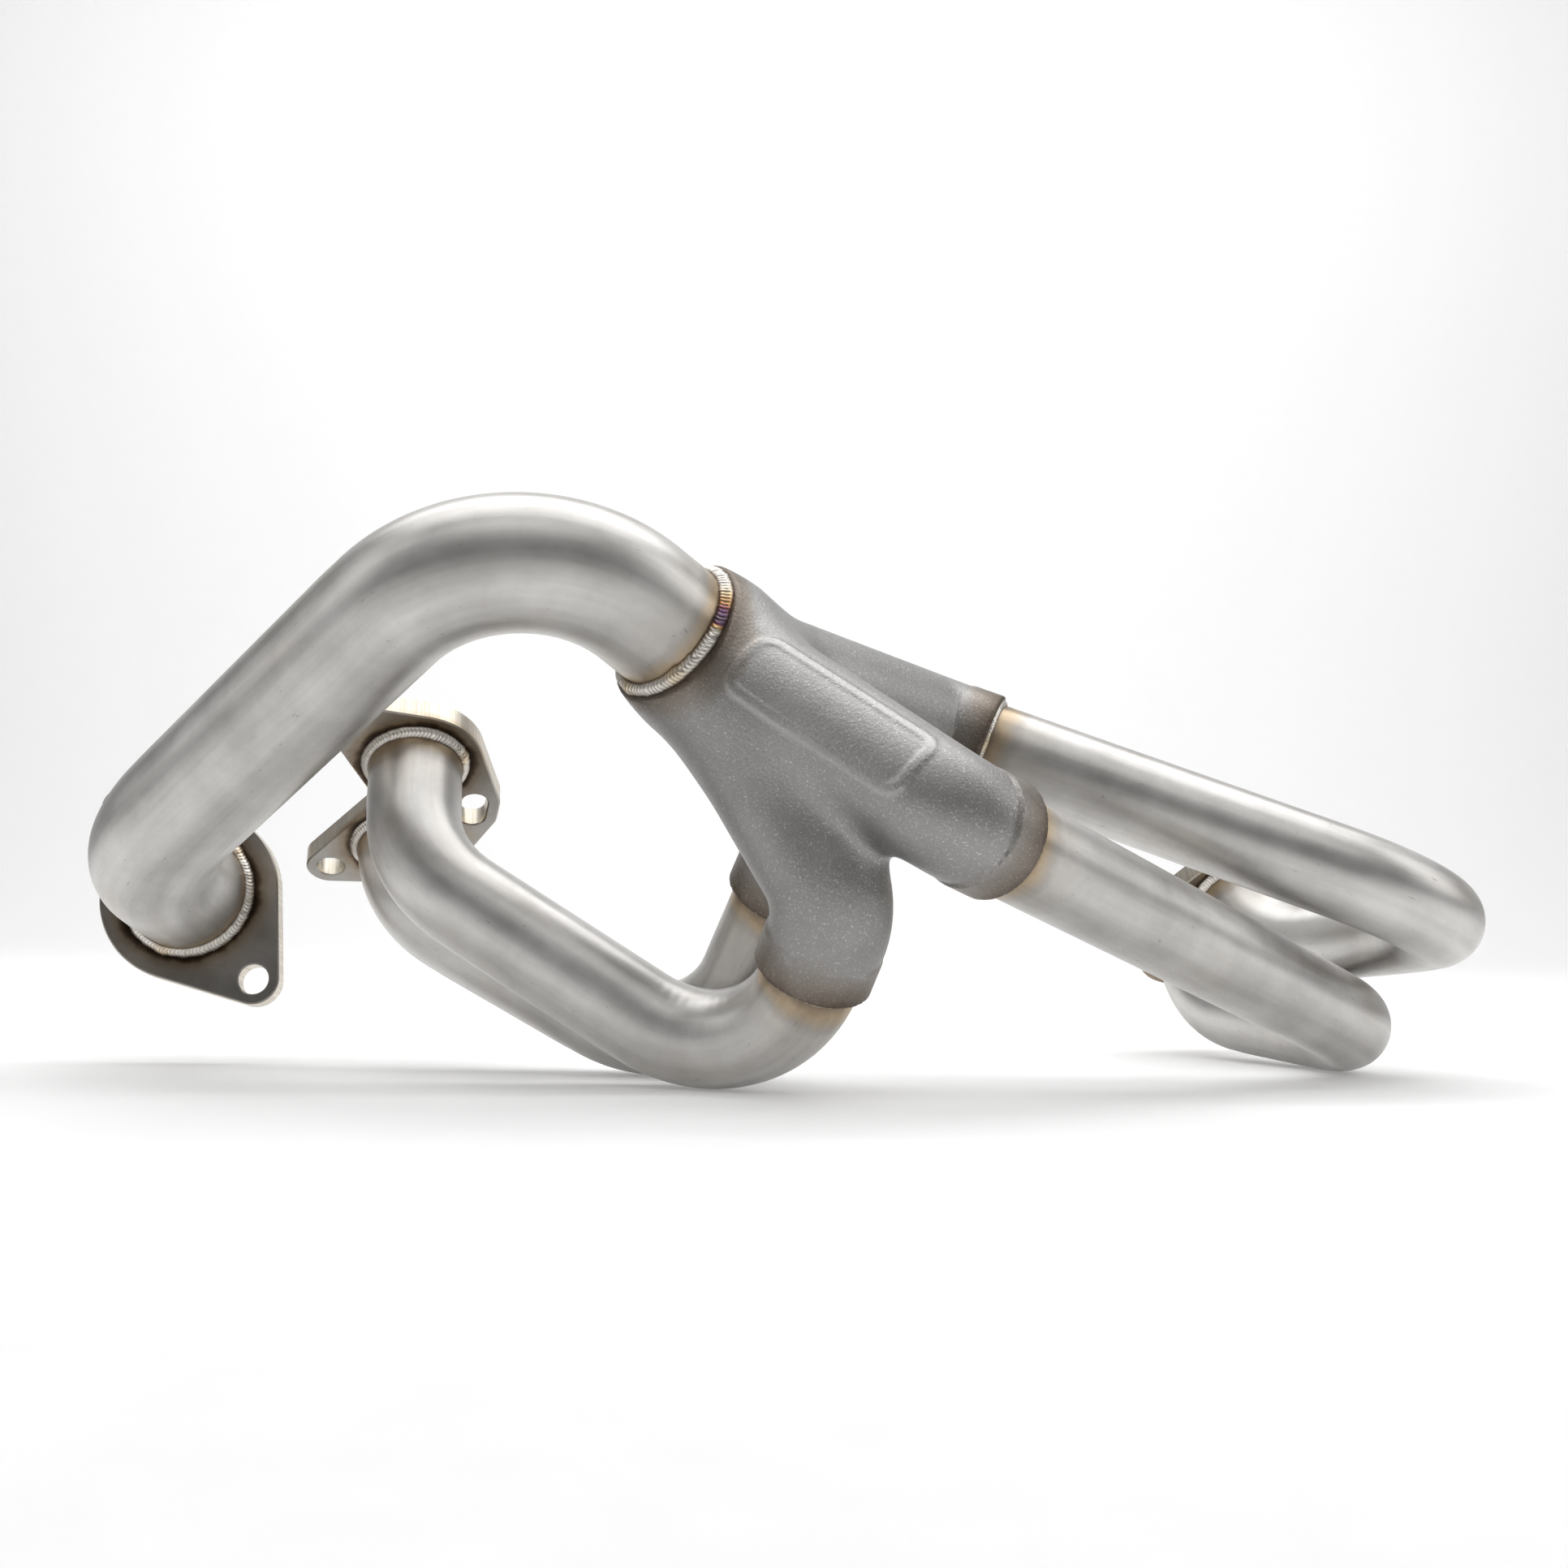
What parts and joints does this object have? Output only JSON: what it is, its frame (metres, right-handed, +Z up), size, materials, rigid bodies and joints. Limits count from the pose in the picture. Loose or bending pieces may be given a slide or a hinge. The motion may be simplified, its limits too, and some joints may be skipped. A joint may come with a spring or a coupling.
{
  "type": "exhaust manifold",
  "caption": "Welded stainless tube exhaust manifold that joins the ports of both cylinder heads of a flat engine in a cast merge collector and leads them to one outlet flange.",
  "frame": {"origin": "centre of the bounding box on the surface that the manifold rests on", "axes": "+Z up in the natural resting pose, +X along the long way from the outlet flange side to the U-bends, +Y towards the gasket side of the flanges"},
  "size_m": [0.6038, 0.3535, 0.2173],
  "materials": {
    "brushed_304_stainless": "satin drawn tube",
    "blasted_cast_stainless": "blasted stainless casting, fine grain",
    "cut_stainless_plate": "cut and ground plate",
    "tig_weld_metal": "bright rippled bead"
  },
  "bodies": {
    "root": {"front_left_primary": "brushed_304_stainless", "rear_left_primary": "brushed_304_stainless", "front_right_primary": "brushed_304_stainless", "rear_right_primary": "brushed_304_stainless", "outlet_tube": "brushed_304_stainless", "merge_collector": "blasted_cast_stainless", "left_head_flange": "cut_stainless_plate", "right_head_flange": "cut_stainless_plate", "outlet_flange": "cut_stainless_plate", "front_left_port_weld": "tig_weld_metal", "front_left_collector_weld": "tig_weld_metal", "rear_left_port_weld": "tig_weld_metal", "rear_left_collector_weld": "tig_weld_metal", "front_right_port_weld": "tig_weld_metal", "front_right_collector_weld": "tig_weld_metal", "rear_right_port_weld": "tig_weld_metal", "rear_right_collector_weld": "tig_weld_metal", "outlet_collector_weld": "tig_weld_metal", "outlet_flange_weld": "tig_weld_metal"}
  },
  "joints": []
}
